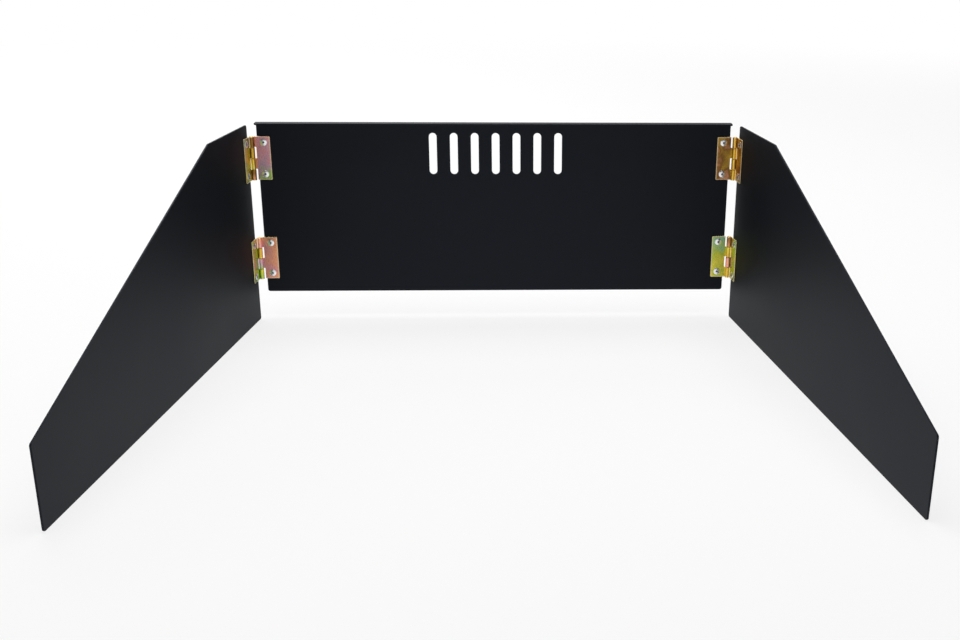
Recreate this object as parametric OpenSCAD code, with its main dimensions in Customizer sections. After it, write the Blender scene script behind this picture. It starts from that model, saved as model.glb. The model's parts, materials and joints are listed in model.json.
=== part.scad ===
// Folding stove windscreen: a lipped back panel between two sloping wings, on four riveted butt hinges.
// Millimetres, +Z up. The panel runs along X and faces -Y, where the stove stands between the wings.
// The wings stand on z = 0, and the origin is under the middle of the outside box.

/* [Sheet] */
// Thickness of the panel and wing sheet
sheet_t = 1.5; // [1:0.1:2.5]
// Radius of the free corners of the sheets
sheet_corner_r = 2; // [1:0.5:6]

/* [Back panel] */
// Width of the back panel
panel_w = 430; // [320:5:560]
// Height of the back panel, from its bottom edge to the top of the lip
panel_h = 160; // [140:5:220]
// Height of the panel's bottom edge above the table
panel_lift = 25; // [10:1:50]
// Reach of the lip in front of the panel's inner face
lip_d = 10; // [8:0.5:20]
// Inside radius of the bend between panel and lip
bend_r = 1.5; // [0.5:0.1:3]

/* [Vents] */
// Number of vent slots in the panel
vent_n = 7; // [3:1:9]
// Width of a vent slot
vent_w = 7; // [4:0.5:10]
// Height of a vent slot, end to end
vent_h = 38; // [20:1:45]
// Distance between neighbouring vent slots
vent_pitch = 19; // [15:0.5:24]
// Distance from the top of the lip down to the vent slots
vent_drop = 10; // [8:1:20]

/* [Wings] */
// Length of a wing along its bottom edge
wing_len = 405; // [320:5:480]
// Length of the level stretch of a wing's top edge
wing_top_len = 90; // [50:5:150]
// Height of a wing's front edge
wing_front_h = 60; // [30:5:110]
// Gap between a folded wing and the underside of the lip
wing_lip_gap = 0.5; // [0.3:0.1:2]
// Angle by which each wing opens past a right angle as it stands
rest_splay = 8; // [0:0.5:30]

/* [Hinges] */
// Height of a hinge
hinge_h = 40; // [30:1:48]
// Distance of a hinge from the top of the lip, and from the panel's bottom edge
hinge_inset = 13; // [8:1:20]
// Distance from the hinge axis to the edge of the sheet
sheet_setback = 4.2; // [4:0.1:8]
// Distance from the hinge axis to the far edge of a leaf
leaf_w = 16; // [14:0.5:24]
// Thickness of a leaf
leaf_t = 1.1; // [0.8:0.05:1.1]
// Radius of a leaf's far corners
leaf_corner_r = 1; // [0.5:0.1:3]
// Number of knuckles in a hinge, shared in turn by its two leaves
knuckle_n = 4; // [2:1:6]
// Wall of a rolled knuckle
knuckle_wall = 1.15; // [1.15:0.05:1.6]
// Gap between neighbouring knuckles
knuckle_gap = 0.3; // [0.2:0.1:0.6]
// Gap between a knuckle and the other leaf's notch
notch_gap = 1; // [0.6:0.1:3]
// Width of the seam where a rolled knuckle meets its leaf
seam_w = 0.3; // [0.2:0.05:0.5]

/* [Hinge pins] */
// Diameter of a hinge pin
pin_d = 2.2; // [2:0.1:3.2]
// Running clearance round the pin in the wing leaf's knuckles
pin_clear = 0.05; // [0.02:0.01:0.1]
// Height of the crowned pin ends beyond the knuckles
pin_end_h = 0.4; // [0.2:0.1:1]

/* [Rivets] */
// Distance from the hinge axis to a rivet
rivet_reach = 10; // [9:0.5:12]
// Distance from the end of a leaf to a rivet
rivet_inset = 5.5; // [4.5:0.5:8]
// Diameter of a rivet's shank
rivet_d = 3.2; // [2.4:0.1:4]
// Clearance round the shank in the leaf and the sheet
rivet_clear = 0.05; // [0.02:0.01:0.1]
// Diameter of a rivet's head
rivet_head_d = 6.4; // [5.6:0.1:7.2]
// Height of a rivet's domed head
rivet_head_h = 0.95; // [0.7:0.05:1.1]
// Height of the straight rim under the dome
rivet_rim_h = 0.25; // [0.1:0.05:0.4]
// Diameter of the bulb formed on the outer face of the sheet
bulb_d = 4.8; // [4.4:0.1:6]
// Height of that bulb
bulb_h = 2.8; // [2.2:0.1:4]
// Radius of the bulb's outer edge
bulb_edge_r = 1; // [0.4:0.1:1.4]

/* [Mandrels] */
// Diameter of the broken-off mandrel in a rivet
mandrel_d = 1.8; // [1.4:0.1:2]
// Clearance round the mandrel in the rivet
mandrel_clear = 0.05; // [0.02:0.01:0.1]
// Depth of the mandrel's broken end below the top of the rivet's head
mandrel_recess = 0.5; // [0.3:0.05:0.8]
// Diameter of the mandrel's own head, seated on the bulb
mandrel_head_d = 2.7; // [2.4:0.1:3.2]
// Height of the mandrel's own head
mandrel_head_h = 1; // [0.6:0.1:1.5]

/* [Hidden] */
$fn = 64;
// Room by which a cut runs past what it cuts
cut_room = 1;
// Sides: the left wing is at -X and the right wing at +X
LEFT = -1;
RIGHT = 1;
// Heights
panel_top = panel_lift + panel_h;
wing_h = panel_top - sheet_t - wing_lip_gap;
upper_hinge_z = panel_top - hinge_inset - hinge_h;
lower_hinge_z = panel_lift + hinge_inset;
// Hinge sections
pin_r = pin_d / 2;
running_bore_r = pin_r + pin_clear;
barrel_r = running_bore_r + knuckle_wall;
notch_reach = barrel_r + notch_gap;
knuckle_pitch = hinge_h / knuckle_n;
// The sheets lie against the leaves' backs, tangent to the barrel, so the hinge axis stands one barrel radius
// in front of the sheets' inner faces
axis_x = panel_w / 2 + sheet_setback;
rivet_seat = barrel_r - leaf_t;
rivet_grip = leaf_t + sheet_t;
rivet_hole_r = rivet_d / 2 + rivet_clear;
mandrel_hole_r = mandrel_d / 2 + mandrel_clear;
// Front and back of the outside box, from the panel's inner face, and the shift that centres it
tip_reach = sheet_setback + wing_len;
front_y = -barrel_r - tip_reach * cos(rest_splay) + barrel_r * sin(rest_splay);
back_y = sheet_t + bulb_h + mandrel_head_h;
panel_y = -(front_y + back_y) / 2;
axis_y = panel_y - barrel_r;
// Colours
SHEET = "#222326";
ZINC = "#b8a05c";
PIN = "#c8b478";
ALUMINIUM = "#c3c6c9";
STEEL = "#6f7276";

// Direction from corner i of an outline to its neighbour, step -1 or 1
function edge_way(points, i, step) =
    let (n = len(points), d = points[(i + step + n) % n] - points[i]) d / norm(d);

// Half of the angle inside corner i
function half_angle(points, i) = acos(edge_way(points, i, -1) * edge_way(points, i, 1)) / 2;

// Where an arc of radius r touches the two edges of corner i, or the corner itself if it is sharp
function touch_points(points, i, r) =
    r == 0 ? [points[i]]
    : [for (step = [-1, 1]) points[i] + r / tan(half_angle(points, i)) * edge_way(points, i, step)];

// Convex outline whose corner i has the radius radii[i], or is sharp at 0
module rounded_outline(points, radii) {
    corners = [0 : len(points) - 1];
    polygon([for (i = corners) each touch_points(points, i, radii[i])]);
    for (i = corners)
        if (radii[i] > 0) {
            inward = edge_way(points, i, -1) + edge_way(points, i, 1);
            translate(points[i] + radii[i] / sin(half_angle(points, i)) * inward / norm(inward))
                circle(r = radii[i]);
        }
}

// Upright plate of an outline in X and Z, from y = 0 to y = t
module upright_plate(t) {
    translate([0, t, 0])
        rotate([90, 0, 0])
            linear_extrude(t)
                children();
}

// Cap of a sphere on z = 0, with base radius r and height h
module crown(r, h) {
    ball_r = (r * r + h * h) / (2 * h);
    intersection() {
        translate([0, 0, h - ball_r])
            sphere(r = ball_r, $fn = 96);
        translate([-ball_r, -ball_r, 0])
            cube([2 * ball_r, 2 * ball_r, h]);
    }
}

// The frame of one side of a hinge: X runs from the hinge axis along the sheet, Y goes through the leaf and
// then the sheet, and z = 0 is the table
module panel_side(side) {
    translate([side * axis_x, axis_y, 0])
        mirror([side == RIGHT ? 1 : 0, 0, 0])
            children();
}

module wing_side(side) {
    translate([side * axis_x, axis_y, 0])
        mirror([side == LEFT ? 1 : 0, 0, 0])
            rotate([0, 0, rest_splay - 90])
                children();
}

// The places of a leaf's two rivets, with Z pointing from the leaf's face through the sheet
module at_rivets(hinge_z) {
    for (z = [rivet_inset, hinge_h - rivet_inset])
        translate([rivet_reach, rivet_seat, hinge_z + z])
            rotate([-90, 0, 0])
                children();
}

// Rivet holes through the sheet at both hinges
module sheet_holes() {
    for (hinge_z = [lower_hinge_z, upper_hinge_z])
        at_rivets(hinge_z)
            cylinder(h = rivet_grip + cut_room, r = rivet_hole_r);
}

// Section of the bent panel, with Y to the back and Z up, from the bottom edge round the bend to the lip
module panel_section() {
    bend_out_r = bend_r + sheet_t;
    translate([0, panel_lift])
        square([sheet_t, panel_h - bend_out_r]);
    translate([-lip_d, panel_top - sheet_t])
        square([lip_d - bend_r, sheet_t]);
    translate([-bend_r, panel_top - bend_out_r])
        intersection() {
            difference() {
                circle(r = bend_out_r);
                circle(r = bend_r);
            }
            square(bend_out_r);
        }
}

// One round-ended slot, standing on y = 0
module vent_outline() {
    end_r = vent_w / 2;
    translate([-end_r, end_r])
        square([vent_w, vent_h - vent_w]);
    for (y = [end_r, vent_h - end_r])
        translate([0, y])
            circle(r = end_r);
}

module vents() {
    for (i = [0 : vent_n - 1])
        translate([(i - (vent_n - 1) / 2) * vent_pitch, panel_y - cut_room, panel_top - vent_drop - vent_h])
            upright_plate(sheet_t + 2 * cut_room)
                vent_outline();
}

// Front view of the panel, with rounded bottom corners
module panel_outline() {
    half_w = panel_w / 2;
    rounded_outline(
        [[-half_w, panel_lift], [half_w, panel_lift], [half_w, panel_top], [-half_w, panel_top]],
        [sheet_corner_r, sheet_corner_r, 0, 0]
    );
}

// Top view of the lip and the panel, with rounded front corners
module lip_outline() {
    half_w = panel_w / 2;
    rounded_outline(
        [[-half_w, -lip_d], [half_w, -lip_d], [half_w, sheet_t], [-half_w, sheet_t]],
        [sheet_corner_r, sheet_corner_r, 0, 0]
    );
}

module back_panel() {
    color(SHEET)
        difference() {
            intersection() {
                translate([-panel_w / 2, panel_y, 0])
                    rotate([90, 0, 90])
                        linear_extrude(panel_w)
                            panel_section();
                translate([0, panel_y - lip_d, 0])
                    upright_plate(lip_d + sheet_t)
                        panel_outline();
                translate([0, panel_y, panel_lift])
                    linear_extrude(panel_h)
                        lip_outline();
            }
            vents();
            for (side = [LEFT, RIGHT])
                panel_side(side)
                    sheet_holes();
        }
}

// Side view of a wing, from its rear edge
module wing_outline() {
    rounded_outline(
        [[0, 0], [wing_len, 0], [wing_len, wing_front_h], [wing_top_len, wing_h], [0, wing_h]],
        [for (i = [1 : 5]) sheet_corner_r]
    );
}

module wing(side) {
    color(SHEET)
        wing_side(side)
            difference() {
                translate([sheet_setback, barrel_r, 0])
                    upright_plate(sheet_t)
                        wing_outline();
                sheet_holes();
            }
}

// Section of a leaf and its rolled knuckle: the leaf's back runs into the roll, which ends at the seam
module leaf_section(bore_r) {
    difference() {
        union() {
            circle(r = barrel_r);
            translate([0, rivet_seat])
                square([leaf_w, leaf_t]);
        }
        circle(r = bore_r);
        translate([0, rivet_seat - seam_w])
            square([barrel_r, seam_w]);
    }
}

// Front view of a leaf, from behind the barrel to the rounded far corners
module leaf_outline() {
    rounded_outline(
        [[-barrel_r, 0], [leaf_w, 0], [leaf_w, hinge_h], [-barrel_r, hinge_h]],
        [0, leaf_corner_r, leaf_corner_r, 0]
    );
}

// A leaf whose knuckles are every second one, counted from the bottom and starting at number first
module leaf(hinge_z, bore_r, first) {
    cut_r = barrel_r + cut_room;
    color(ZINC)
        difference() {
            translate([0, 0, hinge_z])
                intersection() {
                    linear_extrude(hinge_h)
                        leaf_section(bore_r);
                    translate([0, -barrel_r, 0])
                        upright_plate(2 * barrel_r)
                            leaf_outline();
                }
            for (k = [1 - first : 2 : knuckle_n - 1])
                translate([-cut_r, -cut_r, hinge_z + k * knuckle_pitch - knuckle_gap / 2])
                    cube([cut_r + notch_reach, 2 * cut_r, knuckle_pitch + knuckle_gap]);
            at_rivets(hinge_z)
                translate([0, 0, -cut_room])
                    cylinder(h = leaf_t + 2 * cut_room, r = rivet_hole_r);
        }
}

// Seen from inside, the right-hand leaf of a hinge has the top knuckle of an even number, and the left-hand
// leaf has the bottom one
module panel_leaf(side, hinge_z) {
    panel_side(side)
        leaf(hinge_z, pin_r, side == LEFT ? 1 : 0);
}

module wing_leaf(side, hinge_z) {
    wing_side(side)
        leaf(hinge_z, running_bore_r, side == RIGHT ? 1 : 0);
}

// A pin with crowned ends, fixed in the panel leaf and running in the wing leaf
module hinge_pin(side, hinge_z) {
    color(PIN)
        panel_side(side)
            translate([0, 0, hinge_z]) {
                cylinder(h = hinge_h, r = pin_r);
                translate([0, 0, hinge_h])
                    crown(pin_r, pin_end_h);
                mirror([0, 0, 1])
                    crown(pin_r, pin_end_h);
            }
}

// Half section of a blind rivet's bulb, standing on the sheet's outer face
module bulb_section() {
    bulb_r = bulb_d / 2;
    square([bulb_r, bulb_h - bulb_edge_r]);
    square([bulb_r - bulb_edge_r, bulb_h]);
    translate([bulb_r - bulb_edge_r, bulb_h - bulb_edge_r])
        circle(r = bulb_edge_r);
}

// A blind rivet, set: a domed head on the leaf, a hollow shank and a bulb on the sheet's outer face
module rivet() {
    color(ALUMINIUM)
        difference() {
            union() {
                mirror([0, 0, 1]) {
                    cylinder(h = rivet_rim_h, r = rivet_head_d / 2);
                    translate([0, 0, rivet_rim_h])
                        crown(rivet_head_d / 2, rivet_head_h - rivet_rim_h);
                }
                cylinder(h = rivet_grip, r = rivet_d / 2);
                translate([0, 0, rivet_grip])
                    rotate_extrude()
                        bulb_section();
            }
            translate([0, 0, -rivet_head_h - cut_room])
                cylinder(h = rivet_head_h + rivet_grip + bulb_h + 2 * cut_room, r = mandrel_hole_r);
        }
}

// What is left of a rivet's mandrel: the stem broken off inside the head, and its own head on the bulb
module mandrel() {
    stem_z = mandrel_recess - rivet_head_h;
    tail_z = rivet_grip + bulb_h;
    color(STEEL) {
        translate([0, 0, stem_z])
            cylinder(h = tail_z - stem_z, r = mandrel_d / 2);
        translate([0, 0, tail_z])
            crown(mandrel_head_d / 2, mandrel_head_h);
    }
}

module panel_rivets(side, hinge_z) {
    panel_side(side)
        at_rivets(hinge_z)
            rivet();
}

module wing_rivets(side, hinge_z) {
    wing_side(side)
        at_rivets(hinge_z)
            rivet();
}

module panel_mandrels(side, hinge_z) {
    panel_side(side)
        at_rivets(hinge_z)
            mandrel();
}

module wing_mandrels(side, hinge_z) {
    wing_side(side)
        at_rivets(hinge_z)
            mandrel();
}

back_panel();
wing(LEFT);  // left_wing
wing(RIGHT);  // right_wing

panel_leaf(LEFT, upper_hinge_z);  // upper_left_panel_leaf
wing_leaf(LEFT, upper_hinge_z);  // upper_left_wing_leaf
hinge_pin(LEFT, upper_hinge_z);  // upper_left_hinge_pin
panel_rivets(LEFT, upper_hinge_z);  // upper_left_panel_rivets
wing_rivets(LEFT, upper_hinge_z);  // upper_left_wing_rivets
panel_mandrels(LEFT, upper_hinge_z);  // upper_left_panel_mandrels
wing_mandrels(LEFT, upper_hinge_z);  // upper_left_wing_mandrels

panel_leaf(LEFT, lower_hinge_z);  // lower_left_panel_leaf
wing_leaf(LEFT, lower_hinge_z);  // lower_left_wing_leaf
hinge_pin(LEFT, lower_hinge_z);  // lower_left_hinge_pin
panel_rivets(LEFT, lower_hinge_z);  // lower_left_panel_rivets
wing_rivets(LEFT, lower_hinge_z);  // lower_left_wing_rivets
panel_mandrels(LEFT, lower_hinge_z);  // lower_left_panel_mandrels
wing_mandrels(LEFT, lower_hinge_z);  // lower_left_wing_mandrels

panel_leaf(RIGHT, upper_hinge_z);  // upper_right_panel_leaf
wing_leaf(RIGHT, upper_hinge_z);  // upper_right_wing_leaf
hinge_pin(RIGHT, upper_hinge_z);  // upper_right_hinge_pin
panel_rivets(RIGHT, upper_hinge_z);  // upper_right_panel_rivets
wing_rivets(RIGHT, upper_hinge_z);  // upper_right_wing_rivets
panel_mandrels(RIGHT, upper_hinge_z);  // upper_right_panel_mandrels
wing_mandrels(RIGHT, upper_hinge_z);  // upper_right_wing_mandrels

panel_leaf(RIGHT, lower_hinge_z);  // lower_right_panel_leaf
wing_leaf(RIGHT, lower_hinge_z);  // lower_right_wing_leaf
hinge_pin(RIGHT, lower_hinge_z);  // lower_right_hinge_pin
panel_rivets(RIGHT, lower_hinge_z);  // lower_right_panel_rivets
wing_rivets(RIGHT, lower_hinge_z);  // lower_right_wing_rivets
panel_mandrels(RIGHT, lower_hinge_z);  // lower_right_panel_mandrels
wing_mandrels(RIGHT, lower_hinge_z);  // lower_right_wing_mandrels
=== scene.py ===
# %% [markdown]
# A folding stove windscreen, dressed for its picture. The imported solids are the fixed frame: they say where
# every piece is and which body carries it. This file gives each of those pieces a finer surface and a
# finish. The pieces are sheet metal and small turned parts, so two ideas make them all: a flat blank with
# rounded edges that a formula bends, and a profile that is turned about an axis.

# %% Load the frame
import json
import math

import bmesh
import bpy
import numpy as np
from mathutils import Matrix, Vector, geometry


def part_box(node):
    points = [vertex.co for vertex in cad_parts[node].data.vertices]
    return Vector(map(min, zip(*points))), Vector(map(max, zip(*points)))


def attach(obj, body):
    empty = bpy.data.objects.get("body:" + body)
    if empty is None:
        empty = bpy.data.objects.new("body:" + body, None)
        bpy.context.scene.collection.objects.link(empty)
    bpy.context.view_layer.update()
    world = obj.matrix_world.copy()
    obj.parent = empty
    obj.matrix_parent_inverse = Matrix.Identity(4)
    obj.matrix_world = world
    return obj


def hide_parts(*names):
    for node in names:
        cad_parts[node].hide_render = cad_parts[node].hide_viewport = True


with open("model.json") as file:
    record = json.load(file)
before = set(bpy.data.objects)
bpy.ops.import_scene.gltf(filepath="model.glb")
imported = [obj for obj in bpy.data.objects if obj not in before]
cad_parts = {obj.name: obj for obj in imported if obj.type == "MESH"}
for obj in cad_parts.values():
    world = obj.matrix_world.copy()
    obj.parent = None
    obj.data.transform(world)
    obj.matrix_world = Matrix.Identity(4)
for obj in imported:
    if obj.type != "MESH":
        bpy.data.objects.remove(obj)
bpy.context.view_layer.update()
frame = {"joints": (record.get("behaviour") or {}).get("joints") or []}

# %% [markdown]
# Sizes come from the frame wherever a solid's box or a joint shows them, so the surfaces fit the solids.
# Only what a box can't show is written in this file, such as the splay, thicknesses, radii and the vents.
# The pieces are in millimetres, and a mesh is brought to metres when it is made.

# %% Measure the frame
MM = 0.001
SIDES = {"left": -1, "right": 1}
LEVELS = ("upper", "lower")
SPLAY = math.radians(8)
SHEET_T = 1.5


def box_mm(node):
    """Lowest and highest corner of a solid, in millimetres."""
    low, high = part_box(node)
    return np.array(low) / MM, np.array(high) / MM


panel_low, panel_high = box_mm("back_panel")
wing_low, wing_high = box_mm("right_wing")
pin_low, pin_high = box_mm("upper_right_hinge_pin")
leaf_low, leaf_high = box_mm("upper_right_panel_leaf")
fold_axis = {joint["child"]: np.array(joint["pos_m"]) / MM for joint in frame["joints"]}
axis_x, axis_y, _ = fold_axis["right_wing_body"]

panel_w = panel_high[0] - panel_low[0]
# The barrels touch the plane of the panel's front face, so the axis is one barrel radius in front of it.
panel_y = panel_high[1] - SHEET_T
barrel_r = panel_y - axis_y
pin_r = (pin_high[0] - pin_low[0]) / 2
hinge_h = leaf_high[2] - leaf_low[2]
leaf_w = axis_x - leaf_low[0]
sheet_setback = axis_x - panel_high[0]
wing_h = wing_high[2]
wing_len = (wing_high[1] - wing_low[1] - SHEET_T * math.sin(SPLAY)) / math.cos(SPLAY)
print(f"panel {panel_w:.1f} mm wide, wings {wing_len:.1f} mm long and {wing_h:.1f} mm high")
print(f"hinges {hinge_h:.1f} mm high, with barrels of {barrel_r:.2f} mm radius")

# %% [markdown]
# The camera stands where the photograph was taken: a step and a half in front of the panel, about on its
# middle line, turned a little to the right and looking down. The focal length comes from the outline's
# perspective, in pixels of the photograph. A small shift keeps the framing, and a roll of about half a
# degree tilts the screen as the photograph shows it.

# %% Camera
PHOTO_W = 960
FOCAL_PX = 1180
CENTRE_PX = 560
SENSOR_W = 36
CAMERA_RIGHT, CAMERA_AWAY, CAMERA_UP = 10.2, 1068.6, 371.8
CAMERA_YAW = math.radians(2.69)
CAMERA_PITCH = math.radians(19.42)
CAMERA_ROLL = math.radians(-0.6)

lens = bpy.data.cameras.new("photo_camera")
lens.sensor_width = SENSOR_W
lens.lens = FOCAL_PX / PHOTO_W * SENSOR_W
lens.shift_x = (PHOTO_W / 2 - CENTRE_PX) / PHOTO_W
camera = bpy.data.objects.new("photo_camera", lens)
camera.location = np.array([CAMERA_RIGHT, panel_y - CAMERA_AWAY, CAMERA_UP]) * MM
aim = Matrix.Rotation(-CAMERA_YAW, 3, "Z") @ Matrix.Rotation(math.pi / 2 - CAMERA_PITCH, 3, "X")
camera.rotation_euler = (aim @ Matrix.Rotation(-CAMERA_ROLL, 3, "Z")).to_euler()
bpy.context.scene.collection.objects.link(camera)
bpy.context.scene.camera = camera
print(f"camera: {lens.lens:.1f} mm lens, shift {lens.shift_x:.3f}")

# %% [markdown]
# Shaders are built from a few nodes each. One function adds a node, sets it and links it, and another turns
# the colours, written as sRGB hex, into the linear numbers that shaders use.

# %% Shader helpers


def linear(hex_colour):
    """sRGB hex to linear RGBA: below 0.04045 it is a straight line, above that a power of 2.4."""
    srgb = np.array([int(hex_colour[i:i + 2], 16) for i in (1, 3, 5)]) / 255
    rgb = np.where(srgb <= 0.04045, srgb / 12.92, ((srgb + 0.055) / 1.055) ** 2.4)
    return (*rgb.tolist(), 1.0)


def add_node(tree, kind, inputs=None, links=None, **settings):
    """Add one shader node: settings are its properties, inputs its socket values and links its wires."""
    made = tree.nodes.new(kind)
    for key, value in settings.items():
        setattr(made, key, value)
    for key, value in (inputs or {}).items():
        made.inputs[key].default_value = value
    for key, source in (links or {}).items():
        tree.links.new(source, made.inputs[key])
    return made


def set_stops(ramp, stops):
    """Give a colour ramp its (position, hex colour) stops."""
    elements = ramp.color_ramp.elements
    while len(elements) > 1:
        elements.remove(elements[-1])
    for i, (position, colour) in enumerate(stops):
        stop = elements[0] if i == 0 else elements.new(position)
        stop.position = position
        stop.color = linear(colour)


def new_material(name):
    """An empty node material with its output, as (material, tree, surface socket)."""
    made = bpy.data.materials.new(name)
    made.use_nodes = True
    made.node_tree.nodes.clear()
    out = made.node_tree.nodes.new("ShaderNodeOutputMaterial")
    return made, made.node_tree, out.inputs["Surface"]


WHITE = linear("#ffffff")
print("linear white is", WHITE[:3], "and a middle grey is", round(linear("#808080")[0], 3))

# %% [markdown]
# The screen stands on a white table, for the photograph's white ground. Lit by lamps alone, it would need
# so much light to look white that the black sheets would turn grey. So round the screen most of its
# brightness is a glow that only the camera and mirrors see: it stays white while it still takes the soft
# shadow, and some way off it is all glow. Its far edge is turned up, as a studio's paper sweep is, so that
# a low camera sees white to the top of the picture and the rivets have white all round to reflect.

# %% White table
TABLE_HALF_M = 16
TABLE_EDGE_M = 8
TABLE_COLOUR = "#f4f4f4"
TABLE_GLOW = 0.78
ALL_GLOW_M = (1.0, 2.8)


def table_paper():
    """White that glows for camera and mirror rays, by a share that grows away from the middle."""
    material, tree, surface = new_material("white table")
    paper = add_node(tree, "ShaderNodeBsdfDiffuse", {"Color": linear(TABLE_COLOUR)})
    glow = add_node(tree, "ShaderNodeEmission", {"Color": WHITE, "Strength": 1.0})
    path = add_node(tree, "ShaderNodeLightPath")
    mirror = add_node(
        tree, "ShaderNodeMath", operation="MAXIMUM",
        links={0: path.outputs["Is Glossy Ray"], 1: path.outputs["Is Transmission Ray"]},
    )
    seen = add_node(
        tree, "ShaderNodeMath", operation="MAXIMUM",
        links={0: path.outputs["Is Camera Ray"], 1: mirror.outputs[0]},
    )
    place = add_node(tree, "ShaderNodeTexCoord").outputs["Object"]
    away = add_node(tree, "ShaderNodeVectorMath", links={0: place}, operation="LENGTH").outputs["Value"]
    level = add_node(
        tree, "ShaderNodeMapRange",
        {"From Min": ALL_GLOW_M[0], "From Max": ALL_GLOW_M[1], "To Min": TABLE_GLOW, "To Max": 1.0},
        {"Value": away}, interpolation_type="SMOOTHSTEP",
    )
    share = add_node(
        tree, "ShaderNodeMath", operation="MULTIPLY",
        links={0: seen.outputs[0], 1: level.outputs["Result"]},
    )
    mix = add_node(
        tree, "ShaderNodeMixShader",
        links={0: share.outputs[0], 1: paper.outputs[0], 2: glow.outputs[0]},
    )
    tree.links.new(mix.outputs[0], surface)
    return material


def white_table():
    """A tray in metres: a square at z = 0 and an upright edge along each of its sides."""
    corner = TABLE_HALF_M * np.array([[-1, -1], [1, -1], [1, 1], [-1, 1]])
    tray = [np.column_stack([corner, np.full(4, height)]) for height in (0, TABLE_EDGE_M)]
    edges = [(i, i + 4, (i + 1) % 4 + 4, (i + 1) % 4) for i in range(4)]
    mesh = bpy.data.meshes.new("table")
    mesh.from_pydata(np.concatenate(tray).tolist(), [], [(0, 1, 2, 3), *edges])
    mesh.materials.append(table_paper())
    made = bpy.data.objects.new("table", mesh)
    bpy.context.scene.collection.objects.link(made)
    return made


table = white_table()
print(table.name, 2 * TABLE_HALF_M, "m wide with an edge of", TABLE_EDGE_M, "m")

# %% [markdown]
# The light is soft and comes from above: one wide softbox overhead, and two at the back, towards the left,
# that draw the sheen along the lip. A rectangular area lamp is just what a softbox is. The sky above them
# is nearly dark, so that black stays black.

# %% Softboxes and sky
SKY_LEVEL = 0.03
# Name, place and size in metres, and watts
SOFTBOXES = (
    ("overhead_softbox", (0, 0.35, 1.7), (1.8, 1.5), 31),
    ("back_softbox", (-1.0, 2.0, 1.5), (2.2, 1.5), 32),
    ("far_softbox", (-1.8, 3.6, 2.0), (2.6, 2.0), 9),
)


def softbox(name, at, size, watts):
    """A rectangular area lamp that hangs level and shines straight down."""
    lamp = bpy.data.lights.new(name, "AREA")
    lamp.shape = "RECTANGLE"
    lamp.size, lamp.size_y = size
    lamp.energy = watts
    made = bpy.data.objects.new(name, lamp)
    made.location = at
    bpy.context.scene.collection.objects.link(made)
    return made


lamps = [softbox(*settings) for settings in SOFTBOXES]
world = bpy.data.worlds.new("studio")
world.use_nodes = True
sky = world.node_tree.nodes["Background"]
sky.inputs["Color"].default_value = WHITE
sky.inputs["Strength"].default_value = SKY_LEVEL
bpy.context.scene.world = world
bpy.context.scene.view_settings.view_transform = "Standard"
print("light:", [lamp.name for lamp in lamps], "and sky at", SKY_LEVEL)

# %% [markdown]
# Powder coat is coloured plastic powder that is baked onto the steel. It flows as it melts and sets with a
# faint orange peel, so a black one is satin: dark, with a broad soft sheen that is a little uneven. The
# peel is about two millimetres from crest to crest and a hundredth of a millimetre deep. As real relief it
# would take millions of faces, so a bump of that size breaks up the sheen. The gloss also drifts over a
# hand's width. A plastic's IOR is about 1.5. A lower one and a bluish tint match the weak, cool sheen of
# this coat.

# %% Black powder coat
PEEL_MM = 2.0
PEEL_DEPTH_MM = 0.012
CLOUD_MM = 90
COAT_COLOURS = ((0.3, "#07090e"), (0.7, "#0b0d13"))
COAT_ROUGHNESS = (0.56, 0.64)
COAT_TINT = "#dfeaff"
COAT_IOR = 1.36


def powder_coat():
    """Black dielectric with an orange-peel bump and a slowly changing gloss."""
    material, tree, surface = new_material("black satin powder coat")
    place = add_node(tree, "ShaderNodeTexCoord").outputs["Object"]
    cloud = add_node(
        tree, "ShaderNodeTexNoise", {"Scale": 1 / (CLOUD_MM * MM), "Detail": 3.0}, {"Vector": place},
    )
    colour = add_node(tree, "ShaderNodeValToRGB", links={"Fac": cloud.outputs["Fac"]})
    set_stops(colour, COAT_COLOURS)
    gloss = add_node(
        tree, "ShaderNodeMapRange", {"To Min": COAT_ROUGHNESS[0], "To Max": COAT_ROUGHNESS[1]},
        {"Value": cloud.outputs["Fac"]},
    )
    peel = add_node(
        tree, "ShaderNodeTexNoise", {"Scale": 1 / (PEEL_MM * MM), "Detail": 2.0}, {"Vector": place},
    )
    bump = add_node(
        tree, "ShaderNodeBump", {"Strength": 1.0, "Distance": PEEL_DEPTH_MM * MM},
        {"Height": peel.outputs["Fac"]},
    )
    plastic = add_node(
        tree, "ShaderNodeBsdfPrincipled", {"IOR": COAT_IOR, "Specular Tint": linear(COAT_TINT)},
        {
            "Base Color": colour.outputs["Color"],
            "Roughness": gloss.outputs["Result"],
            "Normal": bump.outputs["Normal"],
        },
    )
    tree.links.new(plastic.outputs[0], surface)
    return material


coat = powder_coat()
print("finish:", coat.name)

# %% [markdown]
# The hinges are steel with a zinc plating that was dipped in a yellow chromate bath. The film is thin
# enough to show interference colours: as it thickens they run from straw through gold, brown, salmon and
# mauve to green and back to yellow. The bath drains off each leaf in its own way, so the film's thickness
# goes from one value at the leaf's bottom to another at its top, and the same on its rolled tabs, with a
# slow noise on it. A colour could be painted on each leaf, but a ramp from thickness to colour gives the
# bands their real order. The thickness belongs to the flat leaf, so the shader reads the blank's own
# coordinates, which the mesh keeps under the name "blank".

# %% Zinc film
FILM_MM = 12
FILM_WANDER = 0.33
FILM_COLOURS = (
    (0.0, "#d2c86a"), (0.12, "#e6bc48"), (0.24, "#8c6232"), (0.36, "#fdb086"), (0.47, "#e6a0a4"),
    (0.57, "#c9a6b4"), (0.67, "#9ac84e"), (0.76, "#8fc8a4"), (0.86, "#c2cc48"), (0.94, "#f0da58"),
    (1.0, "#e4b650"),
)


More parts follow.
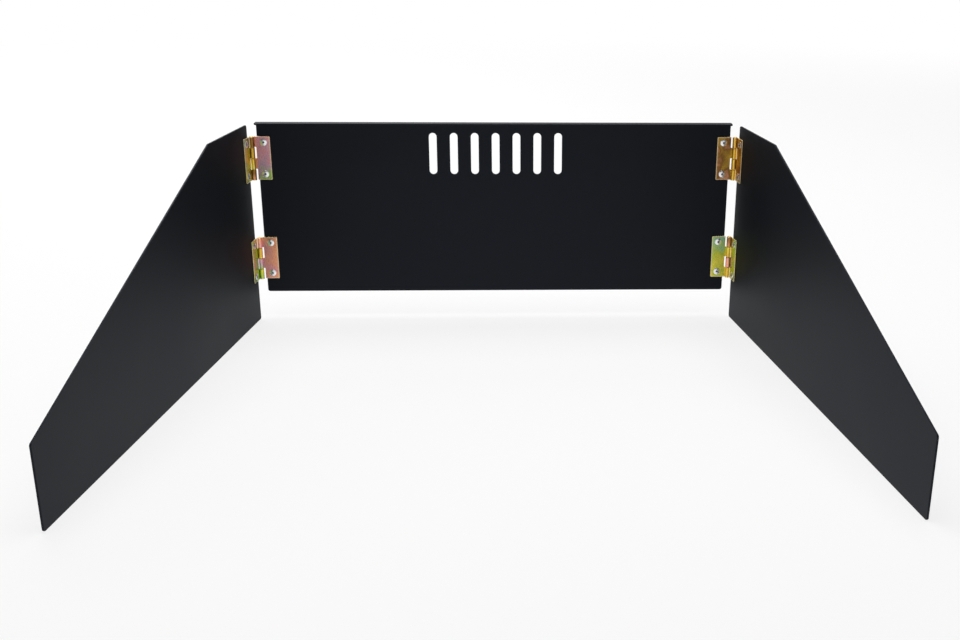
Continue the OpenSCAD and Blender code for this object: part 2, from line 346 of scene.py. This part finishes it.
def film_colour(tree, place, along, up, films):
    """Colour of the film. Its thickness is a straight line from the leaf's bottom to its top, goes over
    to the tabs' own line where they are rolled, and has a noise added."""
    plate, tabs = (
        add_node(
            tree, "ShaderNodeMapRange",
            {"From Max": hinge_h * MM, "To Min": low - FILM_WANDER / 2, "To Max": high - FILM_WANDER / 2},
            {"Value": up},
        )
        for low, high in films
    )
    rolled = add_node(
        tree, "ShaderNodeMapRange", {"From Min": (leaf_w - 2 * barrel_r) * MM, "From Max": leaf_w * MM},
        {"Value": along},
    )
    settled = add_node(
        tree, "ShaderNodeMix",
        links={0: rolled.outputs["Result"], 2: plate.outputs["Result"], 3: tabs.outputs["Result"]},
    )
    wander = add_node(
        tree, "ShaderNodeTexNoise", {"Scale": 1 / (FILM_MM * MM), "Detail": 2.5, "Distortion": 0.6},
        {"Vector": place},
    )
    film = add_node(
        tree, "ShaderNodeMath", {1: FILM_WANDER}, {0: wander.outputs["Fac"], 2: settled.outputs[0]},
        operation="MULTIPLY_ADD",
    )
    tint = add_node(tree, "ShaderNodeValToRGB", links={"Fac": film.outputs[0]})
    set_stops(tint, FILM_COLOURS)
    return tint.outputs["Color"]


print("zinc film:", len(FILM_COLOURS), "colours in patches of about", FILM_MM, "mm")

# %% [markdown]
# A pale band along a leaf's edges is a painted highlight: the light that its rolled-over edges catch.
# Tumbling leaves fine scratches on the film. A noise that is drawn out upwards stands for the scratches.
# They are coarser than real ones, which would not show even up close. As the leaves lie on upright sheets,
# the object's own Z will do for the scratches' direction.

# %% Yellow zinc
# The pale edge colour is a painted highlight: the light that a leaf's rolled-over edges catch
EDGE_HIGHLIGHT_MM = 1.5
EDGE_HIGHLIGHT_SHARE = 0.75
EDGE_HIGHLIGHT_COLOUR = "#f3dcae"
SCRATCH_LEN_MM, SCRATCH_W_MM, SCRATCH_DEPTH_MM = 6, 0.25, 0.01
SCRATCH_STRENGTH = 0.6
ZINC_ROUGHNESS = (0.2, 0.34)


def edge_highlight_share(tree, along, up):
    """Share of the painted edge highlight: it falls smoothly to nothing a short way in from far edge, bottom
    and top.
    """
    below_top = add_node(tree, "ShaderNodeMath", {0: hinge_h * MM}, {1: up}, operation="SUBTRACT")
    nearer = add_node(tree, "ShaderNodeMath", links={0: up, 1: below_top.outputs[0]}, operation="MINIMUM")
    nearest = add_node(tree, "ShaderNodeMath", links={0: along, 1: nearer.outputs[0]}, operation="MINIMUM")
    highlighted = add_node(
        tree, "ShaderNodeMapRange", {"From Max": EDGE_HIGHLIGHT_MM * MM, "To Min": EDGE_HIGHLIGHT_SHARE, "To Max": 0.0},
        {"Value": nearest.outputs[0]}, interpolation_type="SMOOTHSTEP",
    )
    return highlighted.outputs["Result"]


def yellow_zinc(name, films):
    """Metal in the film's colour, with a painted highlight near the outline and scratches in its gloss."""
    material, tree, surface = new_material(name)
    place = add_node(tree, "ShaderNodeTexCoord").outputs["Object"]
    on_blank = add_node(tree, "ShaderNodeAttribute", attribute_name="blank").outputs["Vector"]
    blank_xyz = add_node(tree, "ShaderNodeSeparateXYZ", links={0: on_blank})
    along, up = blank_xyz.outputs["X"], blank_xyz.outputs["Y"]
    # The film's colour, mixed towards the pale painted edge highlight near the outline
    colour = add_node(
        tree, "ShaderNodeMix", {7: linear(EDGE_HIGHLIGHT_COLOUR)},
        {0: edge_highlight_share(tree, along, up), 6: film_colour(tree, place, along, up, films)}, data_type="RGBA",
    )
    across = 1 / (SCRATCH_W_MM * MM)
    drawn_out = add_node(
        tree, "ShaderNodeMapping", {"Scale": (across, across, 1 / (SCRATCH_LEN_MM * MM))}, {"Vector": place},
    )
    scratch = add_node(
        tree, "ShaderNodeTexNoise", {"Scale": 1.0, "Detail": 2.0}, {"Vector": drawn_out.outputs["Vector"]},
    )
    gloss = add_node(
        tree, "ShaderNodeMapRange", {"To Min": ZINC_ROUGHNESS[0], "To Max": ZINC_ROUGHNESS[1]},
        {"Value": scratch.outputs["Fac"]},
    )
    bump = add_node(
        tree, "ShaderNodeBump", {"Strength": SCRATCH_STRENGTH, "Distance": SCRATCH_DEPTH_MM * MM},
        {"Height": scratch.outputs["Fac"]},
    )
    metal = add_node(
        tree, "ShaderNodeBsdfPrincipled", {"Metallic": 1.0},
        {
            "Base Color": colour.outputs[2],
            "Roughness": gloss.outputs["Result"],
            "Normal": bump.outputs["Normal"],
        },
    )
    tree.links.new(metal.outputs[0], surface)
    return material


print("yellow zinc is worn", EDGE_HIGHLIGHT_MM, "mm in from a leaf's edges")

# %% [markdown]
# The rivets are plain aluminium, pressed bright by the setting tool, and what is left of each mandrel is
# dull steel. Both are a few pixels across, so one noise that drives colour and gloss is enough. Its grain
# is coarser than the metals' own, which would not show.

# %% Rivet aluminium and mandrel steel
GRAIN_SPAN = (0.35, 0.65)


def plain_metal(name, dark, light, grain_mm, roughness):
    """Metal whose colour and gloss wander together between two values, grain by grain."""
    material, tree, surface = new_material(name)
    place = add_node(tree, "ShaderNodeTexCoord").outputs["Object"]
    grain = add_node(
        tree, "ShaderNodeTexNoise", {"Scale": 1 / (grain_mm * MM), "Detail": 3.0}, {"Vector": place},
    )
    colour = add_node(tree, "ShaderNodeValToRGB", links={"Fac": grain.outputs["Fac"]})
    set_stops(colour, zip(GRAIN_SPAN, (dark, light)))
    gloss = add_node(
        tree, "ShaderNodeMapRange", {"To Min": roughness[0], "To Max": roughness[1]},
        {"Value": grain.outputs["Fac"]},
    )
    metal = add_node(
        tree, "ShaderNodeBsdfPrincipled", {"Metallic": 1.0},
        {"Base Color": colour.outputs["Color"], "Roughness": gloss.outputs["Result"]},
    )
    tree.links.new(metal.outputs[0], surface)
    return material


aluminium = plain_metal("rivet aluminium", "#f0f0f1", "#fcfcfc", grain_mm=0.8, roughness=(0.3, 0.4))
mandrel_steel = plain_metal("mandrel steel", "#54575b", "#74777b", grain_mm=0.4, roughness=(0.35, 0.5))
print("finishes:", aluminium.name, "and", mandrel_steel.name)

# %% [markdown]
# Every sheet-metal piece starts as a blank: a flat outline with rounded corners and holes. An outline is a
# list of corners with radii. A Bevel modifier could round the corners too, but it has one width, and a leaf
# needs several radii. So each corner becomes an arc, described by its centre, its signed radius and the
# outward normals along it, and the same arc can be drawn at any inset from the edge.

# %% Outlines
ARC_N = 7


def rounded_loop(corners, radii):
    """Arcs of an outline with material on its left: a corner's arc turns the outward normal from one
    edge's to the next's about a centre one radius inside. Returns centres, signed radii (negative in
    hollow corners) and normals. A corner of radius 0 is a single point on a straight edge."""
    corners, radii = np.array(corners, float), np.array(radii, float)
    ahead = np.roll(corners, -1, 0) - corners
    ahead /= np.linalg.norm(ahead, axis=1, keepdims=True)
    leaving = np.stack([ahead[:, 1], -ahead[:, 0]], 1)
    arriving = np.roll(leaving, 1, 0)
    straightness = (arriving * leaving).sum(1)
    turn = np.arctan2(arriving[:, 0] * leaving[:, 1] - arriving[:, 1] * leaving[:, 0], straightness)
    signed = radii * np.sign(turn)
    reach = signed / (1 + straightness)
    centres = corners - reach[:, None] * (arriving + leaving)
    start = np.arctan2(arriving[:, 1], arriving[:, 0])
    angle = start[:, None] + turn[:, None] * np.linspace(0, 1, ARC_N)
    normals = np.stack([np.cos(angle), np.sin(angle)], 2)
    keep = (radii[:, None] > 0) | (np.arange(ARC_N) == 0)
    spread_centres = np.broadcast_to(centres[:, None], normals.shape)
    spread_radii = np.broadcast_to(signed[:, None], keep.shape)
    return spread_centres[keep], spread_radii[keep], normals[keep]


def loop_at(loop, inset):
    """The outline moved inwards: centre + (signed radius - inset) x normal, for each inset given."""
    centres, signed, normals = loop
    return centres + (signed - np.asarray(inset)[..., None])[..., None] * normals


def hole_loop(middle, width, height):
    """A round or round-ended hole: a box run the other way, with corners of half its width."""
    half = np.array([width, height]) / 2
    corners = np.array(middle) + half * np.array([[-1, -1], [-1, 1], [1, 1], [1, -1]])
    return rounded_loop(corners, np.full(4, min(half)))


def cross_lines(radii, first, count):
    """Lines across a strip of the blank, as pairs of outline points. The strip's outline is a row of
    plain points from corner number first on, two round corners, and the same row on the way back."""
    starts = np.cumsum([0, *np.where(np.array(radii) > 0, ARC_N, 1)])
    return [(starts[first + i], starts[first + 2 * count + 1 - i]) for i in range(count)]


print("a round hole's outline has", len(hole_loop((0, 0), 1, 1)[0]), "points")

# %% [markdown]
# The blank then gets its thickness. Solidify and Bevel modifiers could do that too. Here the rim is a
# profile carried round each outline, so that small holes get the same exact rounding as the outside: a
# small quarter round at either face, as coating and tumbling leave it, with a straight stretch between. The
# faces are the outlines filled in, and lines across the blank keep the fill's triangles from spanning a
# bend.

# %% Blanks
EDGE_N = 5
# The triangulation's output type for triangles over the whole convex hull
FILL_ALL = 0
SAME_POINT_MM = 1e-7


def edge_profile(thickness, edge_r):
    """Inset from the outline and height over the middle plane, from one face round to the other."""
    turn = np.linspace(0, math.pi / 2, EDGE_N)
    inset = edge_r * (1 - np.sin(turn))
    height = thickness / 2 - edge_r * (1 - np.cos(turn))
    return np.concatenate([inset, inset[::-1]]), np.concatenate([height, -height[::-1]])


def fill_face(loops, lines):
    """Triangles between the outlines: a constrained triangulation, less what lies outside by the even-odd
    rule: a triangle stays if a level ray from its middle crosses the outlines an odd number of times."""
    points = np.concatenate(loops)
    start = np.cumsum([0] + [len(loop) for loop in loops])
    edges = [
        (start[i] + k, start[i] + (k + 1) % len(loop))
        for i, loop in enumerate(loops) for k in range(len(loop))
    ]
    flat, _, triangles, *_ = geometry.delaunay_2d_cdt(
        points.tolist(), edges + lines, [], FILL_ALL, SAME_POINT_MM
    )
    flat = np.array([tuple(p) for p in flat])
    triangles = np.array([t for t in triangles if len(t) == 3])
    x, y = flat[triangles].mean(1).T
    (ax, ay), (bx, by) = points[[e[0] for e in edges]].T, points[[e[1] for e in edges]].T
    spans = (ay > y[:, None]) != (by > y[:, None])
    rise = np.where(by == ay, 1, by - ay)
    crossed = spans & (x[:, None] < ax + (y[:, None] - ay) * (bx - ax) / rise)
    return flat, triangles[crossed.sum(1) % 2 == 1]


def blank(loops, thickness, edge_r, lines=()):
    """Points (along, up, over the middle plane) and faces of a plate with round-edged outlines."""
    inset, height = edge_profile(thickness, edge_r)
    points, faces, count = [], [], 0
    for loop in loops:
        ring = loop_at(loop, inset)
        rows, n = ring.shape[:2]
        over = np.broadcast_to(height[:, None, None], (rows, n, 1))
        points.append(np.concatenate([ring, over], 2).reshape(-1, 3))
        k = count + np.arange(rows * n).reshape(rows, n)
        beside = np.roll(k, -1, 1)
        faces += np.stack([k[:-1], k[1:], beside[1:], beside[:-1]], 2).reshape(-1, 4).tolist()
        count += rows * n
    flat, triangles = fill_face([loop_at(loop, edge_r) for loop in loops], list(lines))
    for over, order in ((thickness / 2, (0, 1, 2)), (-thickness / 2, (2, 1, 0))):
        points.append(np.column_stack([flat, np.full(len(flat), over)]))
        faces += (count + triangles[:, order]).tolist()
        count += len(flat)
    return np.concatenate(points), faces


print("a blank's rim has", 2 * EDGE_N, "rows of points")

# %% [markdown]
# A bend keeps the length of the sheet's middle plane, as a real one nearly does. An armature or a Simple
# Deform modifier could bend a plate, but a formula on the points gives the exact radius and angle, and the
# same one folds a lip and rolls a knuckle. When its points are placed, a mesh becomes a piece of the
# windscreen in one function: it is welded where the rim meets the faces, turned outwards, shaded by its
# large faces and tied to its body.

# %% Bends and pieces
WELD_MM = 0.002
# The highest weight, so that the large faces set the shading
EVEN_WEIGHT = 100


def bend(along, over, start, radius, angle):
    """A flat strip bent about an axis: straight up to start, then round an arc of the middle plane's
    radius, then straight again. Returns the distance from the bend's axis across and along the strip's
    first direction."""
    turned_by = np.clip((along - start) / radius, 0, angle)
    straight = along - start - radius * turned_by
    arm = radius - over
    across = arm * np.cos(turned_by) - straight * np.sin(turned_by)
    return across, arm * np.sin(turned_by) + straight * np.cos(turned_by)


def put_piece(name, points, faces, material, body, nodes, flat=None):
    """Mesh in metres from points in millimetres, welded, facing outwards, on its body, in place of its
    solids. It keeps the flat blank's points, when they are given, for its finish."""
    mesh = bpy.data.meshes.new(name)
    mesh.from_pydata((np.asarray(points) * MM).tolist(), [], faces)
    if flat is not None:
        kept = mesh.attributes.new("blank", "FLOAT_VECTOR", "POINT")
        kept.data.foreach_set("vector", (flat * MM).ravel())
    shape = bmesh.new()
    shape.from_mesh(mesh)
    bmesh.ops.remove_doubles(shape, verts=shape.verts, dist=WELD_MM * MM)
    bmesh.ops.recalc_face_normals(shape, faces=shape.faces)
    shape.to_mesh(mesh)
    shape.free()
    mesh.shade_smooth()
    mesh.materials.append(material)
    made = bpy.data.objects.new(name, mesh)
    bpy.context.scene.collection.objects.link(made)
    made.modifiers.new("even shading", "WEIGHTED_NORMAL").weight = EVEN_WEIGHT
    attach(made, body)
    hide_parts(*nodes)
    return made


print("pieces are welded within", WELD_MM, "mm")

# %% [markdown]
# The hinges set the places of the rivet holes, so they are measured first. Each side of a hinge has a frame
# of its own: one direction runs from the hinge axis along the sheet and the other goes through the leaf and
# then the sheet. The same function carries points from that frame to the panel's or the wing's place.

# %% Hinge frames
RIVET_REACH = 10
RIVET_INSET = 5.5
RIVET_HOLE_D = 3.3
rivet_rows = (RIVET_INSET, hinge_h - RIVET_INSET)
hinge_z = {level: box_mm(f"{level}_right_panel_leaf")[0][2] for level in LEVELS}
rivet_z = [hinge_z[level] + row for level in LEVELS for row in rivet_rows]


def hinge_frame(side, part, reach, depth, up):
    """Points from a hinge's own frame to the part's: the panel's side lies along X, and a wing's is
    turned out from it by a right angle and the splay. The left side is the mirror image of the right."""
    if part == "panel":
        x, y = -reach, depth
    else:
        x = reach * math.sin(SPLAY) + depth * math.cos(SPLAY)
        y = depth * math.sin(SPLAY) - reach * math.cos(SPLAY)
    return np.column_stack([SIDES[side] * (axis_x + x), axis_y + y, up])


def body_of(side, part):
    """The body that carries one side of a hinge."""
    return "panel_body" if part == "panel" else f"{side}_wing_body"


print("hinges start at", {level: round(float(z), 1) for level, z in hinge_z.items()}, "mm")

# %% [markdown]
# The back panel is one blank: the upright face, the bend and the lip in a row, with the vents and rivet
# holes already cut, as a sheet-metal shop would do it. Then the bend formula folds the lip forward over the
# stove. Boolean cuts in a folded plate would do as well, but they leave no rounded edges at the vents.

# %% Back panel
SHEET_CORNER_R = 2
SHEET_EDGE_R = 0.25
BEND_R = 1.5
BEND_N = 9
VENT_N, VENT_W, VENT_H = 7, 7, 38
VENT_PITCH, VENT_DROP = 19, 10
bend_mid_r = BEND_R + SHEET_T / 2


def panel_holes():
    """A centred row of upright vents below the lip, and the rivet holes at both sides."""
    vent_up = panel_high[2] - panel_low[2] - VENT_DROP - VENT_H / 2
    vent_x = [(i - (VENT_N - 1) / 2) * VENT_PITCH for i in range(VENT_N)]
    rivet_x = axis_x - RIVET_REACH
    return [hole_loop((x, vent_up), VENT_W, VENT_H) for x in vent_x] + [
        hole_loop((side * rivet_x, z - panel_low[2]), RIVET_HOLE_D, RIVET_HOLE_D)
        for side in SIDES.values() for z in rivet_z
    ]


def back_panel():
    """Outline in (along X, along the sheet from its bottom edge), bent by a right angle below the lip.
    Its corners run along the bottom, up the bend's rows at the right, over the lip and down the left."""
    bend_at = panel_high[2] - BEND_R - SHEET_T - panel_low[2]
    bend_end = bend_at + bend_mid_r * math.pi / 2
    lip_end = bend_end + panel_y - BEND_R - panel_low[1]
    rows = np.linspace(bend_at, bend_end, BEND_N)
    half = panel_w / 2
    bottom, lip = [(-half, 0), (half, 0)], [(half, lip_end), (-half, lip_end)]
    corners = [*bottom, *[(half, v) for v in rows], *lip, *[(-half, v) for v in rows[::-1]]]
    radii = [SHEET_CORNER_R] * 2 + [0] * BEND_N + [SHEET_CORNER_R] * 2 + [0] * BEND_N
    lines = cross_lines(radii, len(bottom), BEND_N)
    points, faces = blank([rounded_loop(corners, radii), *panel_holes()], SHEET_T, SHEET_EDGE_R, lines)
    across, up = bend(points[:, 1], points[:, 2], bend_at, bend_mid_r, math.pi / 2)
    placed = np.column_stack([points[:, 0], panel_y - BEND_R + across, panel_low[2] + bend_at + up])
    return put_piece("back_panel_sheet", placed, faces, coat, "panel_body", ["back_panel"])


made = back_panel()
print(made.name, len(made.data.polygons), "faces")

# %% [markdown]
# A wing is the same kind of blank with no bend: upright at the back, level for a hand's width along the
# top, then sloping down to a low front edge.

# %% Wings
WING_TOP_LEN = 90
WING_FRONT_H = 60


def wing(side):
    """Pentagon in (reach from the hinge axis, height), set one barrel radius behind the axis."""
    rear, front = sheet_setback, sheet_setback + wing_len
    corners = [
        (rear, 0), (front, 0), (front, WING_FRONT_H), (rear + WING_TOP_LEN, wing_h), (rear, wing_h),
    ]
    outline = rounded_loop(corners, [SHEET_CORNER_R] * len(corners))
    holes = [hole_loop((RIVET_REACH, z), RIVET_HOLE_D, RIVET_HOLE_D) for z in rivet_z]
    points, faces = blank([outline, *holes], SHEET_T, SHEET_EDGE_R)
    depth = barrel_r + SHEET_T / 2 + points[:, 2]
    placed = hinge_frame(side, "wing", points[:, 0], depth, points[:, 1])
    name = f"{side}_wing"
    return put_piece(name + "_sheet", placed, faces, coat, body_of(side, "wing"), [name])


for side in SIDES:
    made = wing(side)
    print(made.name, len(made.data.polygons), "faces")

# %% [markdown]
# A hinge leaf is stamped flat with two tabs, and the tabs are rolled round the pin until their ends nearly
# meet the leaf again. A tube joined to a plate would look much the same from afar, but the seam, the
# notches and the rolled ends show up close. So it is the same blank and the same bend, only with a turn of
# most of a circle. The other leaf's knuckles run in the notches between the tabs.

# %% Leaf outline
LEAF_T = 1.1
LEAF_CORNER_R = 1
LEAF_EDGE_R = 0.4
TAB_CORNER_R = 0.45
KNUCKLE_N = 4
KNUCKLE_GAP = 0.3
NOTCH_GAP = 1.0
ROLL_N = 20
ROLL_ANGLE = math.radians(294)
roll_mid_r = barrel_r - LEAF_T / 2


def leaf_outline(first):
    """Corners (distance from the far edge, height), radii and cross lines of a leaf's blank: the plate as
    far as the notches, and a tab at every second knuckle from the first on. A tab has a plain point at
    each step of its roll. A step is longer than the radius of the tab's corners, so that their arcs start
    after the last step."""
    pitch = hinge_h / KNUCKLE_N
    notch = leaf_w - barrel_r - NOTCH_GAP
    *steps, end = leaf_w + roll_mid_r * np.linspace(0, ROLL_ANGLE, ROLL_N)
    tabs = range(first, KNUCKLE_N, 2)
    last_knuckle = KNUCKLE_N - 1
    outline, roll_starts = [(0, 0, LEAF_CORNER_R)], []
    if tabs[0] > 0:
        outline.append((notch, 0, TAB_CORNER_R))
    for k in tabs:
        low = k * pitch + KNUCKLE_GAP / 2 if k > 0 else 0
        high = (k + 1) * pitch - KNUCKLE_GAP / 2 if k < last_knuckle else hinge_h
        if k > 0:
            outline.append((notch, low, TAB_CORNER_R))
        roll_starts.append(len(outline))
        outline += [(v, low, 0) for v in steps]
        outline += [(end, low, TAB_CORNER_R), (end, high, TAB_CORNER_R)]
        outline += [(v, high, 0) for v in reversed(steps)]
        if k < last_knuckle:
            outline.append((notch, high, TAB_CORNER_R))
    if tabs[-1] < last_knuckle:
        outline.append((notch, hinge_h, TAB_CORNER_R))
    outline.append((0, hinge_h, LEAF_CORNER_R))
    *corners, radii = np.transpose(outline)
    lines = [line for start in roll_starts for line in cross_lines(radii, start, len(steps))]
    return np.transpose(corners), radii, lines


print(f"a tab's roll has {ROLL_N - 1} steps of {roll_mid_r * ROLL_ANGLE / (ROLL_N - 1):.2f} mm")

# %% [markdown]
# Each leaf came out of the bath with its own colours, so each has its own film: the thickness at the bottom
# and the top of its plate, and then at the bottom and the top of its tabs, as places on the ramp. Counted
# from below, the left panel leaves have the second and fourth knuckles and the right ones the first and
# third. The wing leaves have the others.

# %% Hinge leaves
LEAF_FILMS = {
    ("upper", "left", "panel"): ((0.66, 0.42), (0.0, 0.22)),
    ("upper", "left", "wing"): ((0.9, 0.78), (0.31, 0.01)),
    ("lower", "left", "panel"): ((0.42, 0.34), (0.73, 0.31)),
    ("lower", "left", "wing"): ((0.69, 0.67), (0.83, 1.05)),
    ("upper", "right", "panel"): ((0.26, 0.23), (0.1, 0.16)),
    ("upper", "right", "wing"): ((0.2, 0.18), (1.04, 1.04)),
    ("lower", "right", "panel"): ((0.93, 0.79), (1.0, 0.9)),
    ("lower", "right", "wing"): ((0.84, 0.86), (0.52, 0.24)),
}


def hinge_leaf(level, side, part):
    """The leaf's blank, whose stretch past the hinge axis is rolled about it."""
    corners, radii, lines = leaf_outline(int((side == "left") == (part == "panel")))
    holes = [hole_loop((leaf_w - RIVET_REACH, row), RIVET_HOLE_D, RIVET_HOLE_D) for row in rivet_rows]
    points, faces = blank([rounded_loop(corners, radii), *holes], LEAF_T, LEAF_EDGE_R, lines)
    depth, inward = bend(points[:, 0], points[:, 2], leaf_w, roll_mid_r, ROLL_ANGLE)
    placed = hinge_frame(side, part, -inward, depth, hinge_z[level] + points[:, 1])
    zinc = yellow_zinc(f"yellow zinc {level} {side} {part}", LEAF_FILMS[level, side, part])
    name = f"{level}_{side}_{part}_leaf"
    return put_piece(name + "_plate", placed, faces, zinc, body_of(side, part), [name], points)


for level, side, part in LEAF_FILMS:
    made = hinge_leaf(level, side, part)
    print(made.name, len(made.data.polygons), "faces")

# %% [markdown]
# Pins, rivets and mandrels are turned parts: a profile of radius against height, carried round an axis.
# Blender's Screw modifier does the same. A formula is used, because its points can then be placed and
# welded by the same functions as the blanks.

# %% Turned parts
TURN_N = 40
CROWN_N = 7


def turned(radius, height, closed=False):
    """Points (across, across, along) and faces of a profile spun about its axis: a tube if closed."""
    angle = np.arange(TURN_N) * 2 * math.pi / TURN_N
    radius, height = np.asarray(radius, float)[:, None], np.asarray(height, float)[:, None]
    points = np.stack(
        [radius * np.cos(angle), radius * np.sin(angle), np.repeat(height, TURN_N, 1)], 2
    )
    k = np.arange(points.shape[0] * TURN_N).reshape(-1, TURN_N)
    if closed:
        k = np.concatenate([k, k[:1]])
    beside = np.roll(k, -1, 1)
    return points.reshape(-1, 3), np.stack([k[:-1], k[1:], beside[1:], beside[:-1]], 2).reshape(-1, 4)


def arc(middle, radius, start, end, steps):
    """Points of an arc in the profile's plane, between two angles in degrees."""
    angle = np.radians(np.linspace(start, end, steps))
    return np.column_stack([middle[0] + radius * np.cos(angle), middle[1] + radius * np.sin(angle)])


def ball_radius(rim_r, height):
    """Radius of a ball from its cap: (rim radius squared + height squared) over twice the height."""
    return (rim_r ** 2 + height ** 2) / (2 * height)


def crown(rim_r, height, base):
    """The profile of a ball's cap, from its rim at the base to the axis."""
    ball_r = ball_radius(rim_r, height)
    rim = math.degrees(math.asin(rim_r / ball_r))
    return arc((0, base + height - ball_r), ball_r, 90 - rim, 90, CROWN_N)


print("turned parts have", TURN_N, "sides")

# %% [markdown]
# A hinge pin is a length of drawn wire, plated yellow like the leaves, with slightly domed ends that show
# at the ends of the barrel. A plain cylinder would do between them, so the profile is only the two domes.

# %% Hinge pins
PIN_END_H = 0.4
pin_zinc = plain_metal("yellow zinc pin", "#c9a24c", "#e6c67c", grain_mm=1.5, roughness=(0.3, 0.45))


def hinge_pin(level, side):
    """A rod with crowned ends: the upper end's profile, and the same one upside down."""
    top = crown(pin_r, PIN_END_H, hinge_h)
    profile = np.concatenate([top[::-1] * (1, -1) + (0, hinge_h), top])
    points, faces = turned(*profile.T)
    placed = points + (SIDES[side] * axis_x, axis_y, hinge_z[level])
    name = f"{level}_{side}_hinge_pin"
    return put_piece(name + "_rod", placed, faces.tolist(), pin_zinc, "panel_body", [name])


for level in LEVELS:
    for side in SIDES:
        made = hinge_pin(level, side)
        print(made.name, len(made.data.polygons), "faces")

# %% [markdown]
# A blind rivet is set from one side. Its domed head sits on the leaf, its shank fills the hole, and pulling
# the mandrel swells a bulb behind the sheet until the mandrel breaks off inside the head. So the head has a
# small hole with the broken stem in it, and the mandrel's own head is left on the bulb. Both are drawn in
# section, with heights measured from the leaf's face into the sheet.

# %% Rivet and mandrel sections
RIVET_HEAD_R, RIVET_HEAD_H, RIVET_RIM_H = 3.2, 0.95, 0.12
RIVET_SHANK_R = 1.6
BULB_R, BULB_H, BULB_EDGE_R = 2.4, 2.8, 1.0
MANDREL_HOLE_R, MANDREL_R = 0.95, 0.9
MANDREL_RECESS = 0.5
MANDREL_HEAD_R, MANDREL_HEAD_H = 1.35, 1.0
HOLE_LIP_R = 0.12
RIM_EDGE_R = 0.05
DOME_N, BULB_N, ROUND_N = 9, 6, 4
# The stem's broken end: share of its radius, and depth in millimetres below its highest point
BREAK = ((0, 0.1), (0.5, 0), (0.9, 0.12), (1, 0.25))
grip = LEAF_T + SHEET_T
tail = grip + BULB_H


def rivet_profile():
    """Closed section: the hole's lip, dome, rim, shank and bulb, then up the hole to the lip again."""
    dome_h = RIVET_HEAD_H - RIVET_RIM_H
    ball_r = ball_radius(RIVET_HEAD_R, dome_h)
    lip_r, rim_r = MANDREL_HOLE_R + HOLE_LIP_R, RIVET_HEAD_R - RIM_EDGE_R
    reach = np.linspace(lip_r, rim_r, DOME_N)
    dome = np.column_stack([reach, -RIVET_RIM_H - dome_h + ball_r - np.sqrt(ball_r ** 2 - reach ** 2)])
    lip = arc((lip_r, dome[0, 1] + HOLE_LIP_R), HOLE_LIP_R, 180, 270, ROUND_N)
    shoulder = [(RIVET_HEAD_R, -RIVET_RIM_H + RIM_EDGE_R)]
    rim = arc((rim_r, -RIM_EDGE_R), RIM_EDGE_R, 0, 90, ROUND_N)
    shank = [(RIVET_SHANK_R, 0), (RIVET_SHANK_R, grip), (BULB_R, grip)]
    bulb = arc((BULB_R - BULB_EDGE_R, tail - BULB_EDGE_R), BULB_EDGE_R, 0, 90, BULB_N)
    hole = [(MANDREL_HOLE_R, tail)]
    return np.concatenate([lip, dome[1:], shoulder, rim, shank, bulb, hole])


def mandrel_profile():
    """The stem from its broken end in the head to its seat, then its own domed head on the bulb."""
    stem = np.array(BREAK) * (MANDREL_R, 1) + (0, MANDREL_RECESS - RIVET_HEAD_H)
    return np.concatenate([stem, [(MANDREL_R, tail)], crown(MANDREL_HEAD_R, MANDREL_HEAD_H, tail)])


print(f"a rivet grips {grip:.1f} mm and ends {tail:.1f} mm below the leaf's face")

# %% [markdown]
# Each leaf has two rivets. The pair is one piece, as it is one node of the frame, and so are the two
# mandrels. A section is turned once, and the hinge's own frame carries it to both holes: its axis is the
# frame's depth, through the leaf and the sheet.

# %% Rivets and mandrels


def rivet_pair(level, side, part, kind, profile, closed, material):
    """Two turned pieces through a leaf and its sheet, as one piece."""
    points, faces = turned(*profile.T, closed)
    reach, depth = RIVET_REACH + points[:, 0], barrel_r - LEAF_T + points[:, 2]
    both = [
        hinge_frame(side, part, reach, depth, hinge_z[level] + row + points[:, 1]) for row in rivet_rows
    ]
    quads = [faces + i * len(points) for i in range(len(both))]
    name = f"{level}_{side}_{part}_{kind}"
    return put_piece(
        name + "_set", np.concatenate(both), np.concatenate(quads).tolist(), material,
        body_of(side, part), [name],
    )


for level, side, part in LEAF_FILMS:
    made = rivet_pair(level, side, part, "rivets", rivet_profile(), True, aluminium)
    stub = rivet_pair(level, side, part, "mandrels", mandrel_profile(), False, mandrel_steel)
    print(made.name, len(made.data.polygons), "faces,", stub.name, len(stub.data.polygons), "faces")

# %% [markdown]

# %% Done
print("all pieces dressed")
